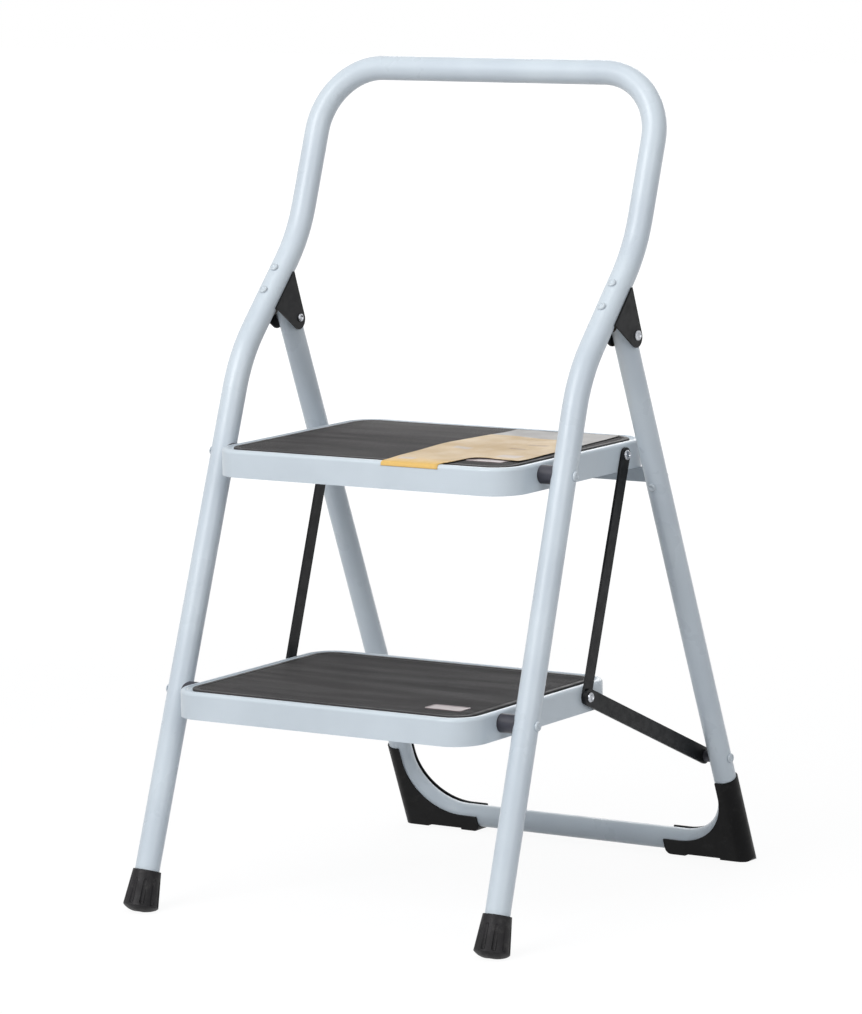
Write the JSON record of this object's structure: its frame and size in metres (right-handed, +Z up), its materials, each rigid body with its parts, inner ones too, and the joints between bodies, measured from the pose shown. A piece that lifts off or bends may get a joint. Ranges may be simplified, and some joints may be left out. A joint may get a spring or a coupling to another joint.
{
  "type": "folding step stool",
  "caption": "Folding step stool with pressed steel treads under ribbed mats, bent tube frames that fold on a bar linkage, and a tall hoop handrail.",
  "frame": {"origin": "on the floor, under the middle of the open stool", "axes": "+X to the right of a user who climbs it, +Y the way the user faces while climbing, +Z up"},
  "size_m": [0.4374, 0.5084, 0.806],
  "materials": {
    "frame_paint": "satin",
    "tray_paint": "satin",
    "mat_rubber": "matte",
    "strap_paint": "satin",
    "rivet_steel": "satin",
    "rivet_paint": "satin",
    "foot_rubber": "matte",
    "shoe_plastic": "matte",
    "black_paint": "satin",
    "spacer_plastic": "matte"
  },
  "bodies": {
    "front_frame": {"front_frame_tube": "frame_paint", "bracket_rivets": "rivet_paint", "front_foot_left": "foot_rubber", "front_foot_right": "foot_rubber", "hinge_bracket_left": "black_paint", "hinge_bracket_right": "black_paint", "hinge_pivot_rivet_left": "rivet_steel", "hinge_pivot_rivet_right": "rivet_steel", "upper_step_spacer_left": "spacer_plastic", "upper_step_spacer_right": "spacer_plastic", "lower_step_spacer_left": "spacer_plastic", "lower_step_spacer_right": "spacer_plastic", "upper_step_pivot_rivet_left": "rivet_paint", "upper_step_pivot_rivet_right": "rivet_paint", "lower_step_pivot_rivet_left": "rivet_paint", "lower_step_pivot_rivet_right": "rivet_paint"},
    "rear_frame": {"rear_frame_tube": "frame_paint", "rear_cross_strap": "strap_paint", "strap_rivets": "rivet_paint", "rear_corner_shoe_left": "shoe_plastic", "rear_corner_shoe_right": "shoe_plastic", "rear_anchor_rivet_left": "rivet_paint", "rear_anchor_rivet_right": "rivet_paint", "rear_anchor_bush_left": "spacer_plastic", "rear_anchor_bush_right": "spacer_plastic"},
    "upper_step": {"upper_step_tray": "tray_paint", "upper_step_mat": "mat_rubber", "upper_link_rivet_left": "rivet_steel", "upper_link_rivet_right": "rivet_steel"},
    "lower_step": {"lower_step_tray": "tray_paint", "lower_step_mat": "mat_rubber", "middle_link_rivet_left": "rivet_steel", "middle_link_rivet_right": "rivet_steel"},
    "upper_link_left": {"upper_link_bar_left": "black_paint"},
    "lower_link_left": {"lower_link_bar_left": "black_paint", "lower_link_stud_left": "rivet_steel"},
    "upper_link_right": {"upper_link_bar_right": "black_paint"},
    "lower_link_right": {"lower_link_bar_right": "black_paint", "lower_link_stud_right": "rivet_steel"}
  },
  "joints": [
    {"name": "fold", "type": "hinge", "parent": "front_frame", "child": "rear_frame", "pos_m": [0, 0.02392, 0.55099], "axis": [-1, 0, 0], "range_deg": [0, 40.45]},
    {"name": "upper_step_tilt", "type": "hinge", "parent": "front_frame", "child": "upper_step", "pos_m": [0, -0.0905, 0.4303], "axis": [1, 0, 0], "range_deg": [0, 63.52]},
    {"name": "lower_step_tilt", "type": "hinge", "parent": "front_frame", "child": "lower_step", "pos_m": [0, -0.16806, 0.2063], "axis": [1, 0, 0], "range_deg": [0, 63.52]},
    {"name": "upper_link_left_pivot", "type": "hinge", "parent": "upper_step", "child": "upper_link_left", "pos_m": [0, 0.058, 0.4303], "axis": [-1, 0, 0], "range_deg": [0, 63.52]},
    {"name": "lower_link_left_pivot", "type": "hinge", "parent": "lower_step", "child": "lower_link_left", "pos_m": [0, -0.01956, 0.2063], "axis": [-1, 0, 0], "range_deg": [0, 136.67]},
    {"name": "upper_link_right_pivot", "type": "hinge", "parent": "upper_step", "child": "upper_link_right", "pos_m": [0, 0.058, 0.4303], "axis": [-1, 0, 0], "range_deg": [0, 63.52]},
    {"name": "lower_link_right_pivot", "type": "hinge", "parent": "lower_step", "child": "lower_link_right", "pos_m": [0, -0.01956, 0.2063], "axis": [-1, 0, 0], "range_deg": [0, 136.67]}
  ],
  "couplings": [
    {"joint": "upper_step_tilt", "follows": "fold", "ratio": 1.5696},
    {"joint": "lower_step_tilt", "follows": "fold", "ratio": 1.5696},
    {"joint": "upper_link_left_pivot", "follows": "fold", "ratio": 1.5696},
    {"joint": "lower_link_left_pivot", "follows": "fold", "ratio": 3.3779},
    {"joint": "upper_link_right_pivot", "follows": "fold", "ratio": 1.5696},
    {"joint": "lower_link_right_pivot", "follows": "fold", "ratio": 3.3779}
  ]
}
